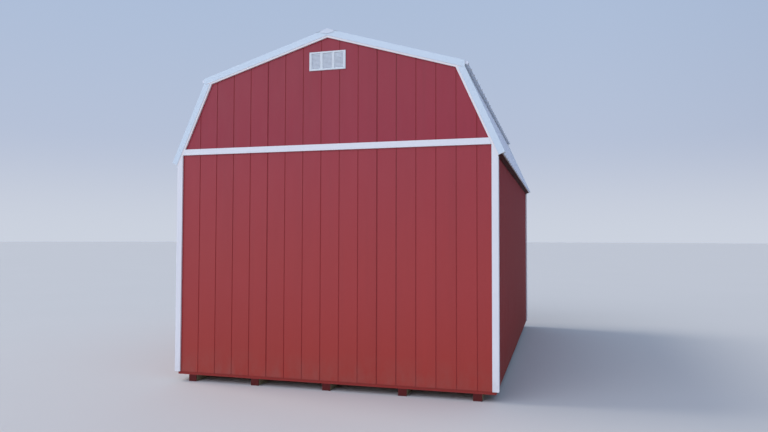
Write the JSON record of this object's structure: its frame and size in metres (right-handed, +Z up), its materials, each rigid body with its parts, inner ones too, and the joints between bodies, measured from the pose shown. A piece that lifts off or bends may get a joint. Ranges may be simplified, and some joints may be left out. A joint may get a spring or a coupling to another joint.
{
  "type": "gambrel storage barn",
  "caption": "Gambrel-roofed timber storage barn on skids: grooved red siding, white trims and band, ribbed metal roof and a louvred vent in each gable.",
  "frame": {"origin": "centre of the plan on the ground, under the skids", "axes": "+Z up, +Y along the ridge from the gable end in the picture to the far one, +X to the right of that gable end"},
  "size_m": [3.6634, 5.538, 3.768],
  "materials": {
    "red_siding": "satin barn-red paint on grooved sheet siding",
    "white_trim": "satin white paint on boards",
    "rake_trim": "white painted sheet metal over white boards",
    "roof_metal": "ribbed sheet metal, light grey-white, satin",
    "eave_paint": "red paint on rough boards: eave boards and the floor frame's rim joists",
    "treated_timber": "bare treated timber, greenish tan, front ends painted red",
    "floor_panel": "bare floor sheathing",
    "vent_plastic": "white moulded louvres"
  },
  "bodies": {
    "root": {"skid_1": "treated_timber", "skid_2": "treated_timber", "skid_3": "treated_timber", "skid_4": "treated_timber", "skid_5": "treated_timber", "rim_joist_front": "eave_paint", "rim_joist_back": "eave_paint", "rim_joist_left": "eave_paint", "rim_joist_right": "eave_paint", "floor_joists": "treated_timber", "floor_deck": "floor_panel", "front_wall": "red_siding", "back_wall": "red_siding", "left_wall": "red_siding", "right_wall": "red_siding", "front_gable": "red_siding", "back_gable": "red_siding", "front_band": "white_trim", "back_band": "white_trim", "front_trim_left": "white_trim", "front_trim_right": "white_trim", "back_trim_left": "white_trim", "back_trim_right": "white_trim", "side_trim_front_left": "white_trim", "side_trim_front_right": "white_trim", "side_trim_back_left": "white_trim", "side_trim_back_right": "white_trim", "front_rake_upper_left": "rake_trim", "front_rake_upper_right": "rake_trim", "front_rake_lower_left": "rake_trim", "front_rake_lower_right": "rake_trim", "back_rake_upper_left": "rake_trim", "back_rake_upper_right": "rake_trim", "back_rake_lower_left": "rake_trim", "back_rake_lower_right": "rake_trim", "roof_upper_left": "roof_metal", "roof_upper_right": "roof_metal", "roof_lower_left": "roof_metal", "roof_lower_right": "roof_metal", "ridge_cap": "roof_metal", "eave_board_left": "eave_paint", "eave_board_right": "eave_paint", "front_vent": "vent_plastic", "back_vent": "vent_plastic"}
  },
  "joints": []
}
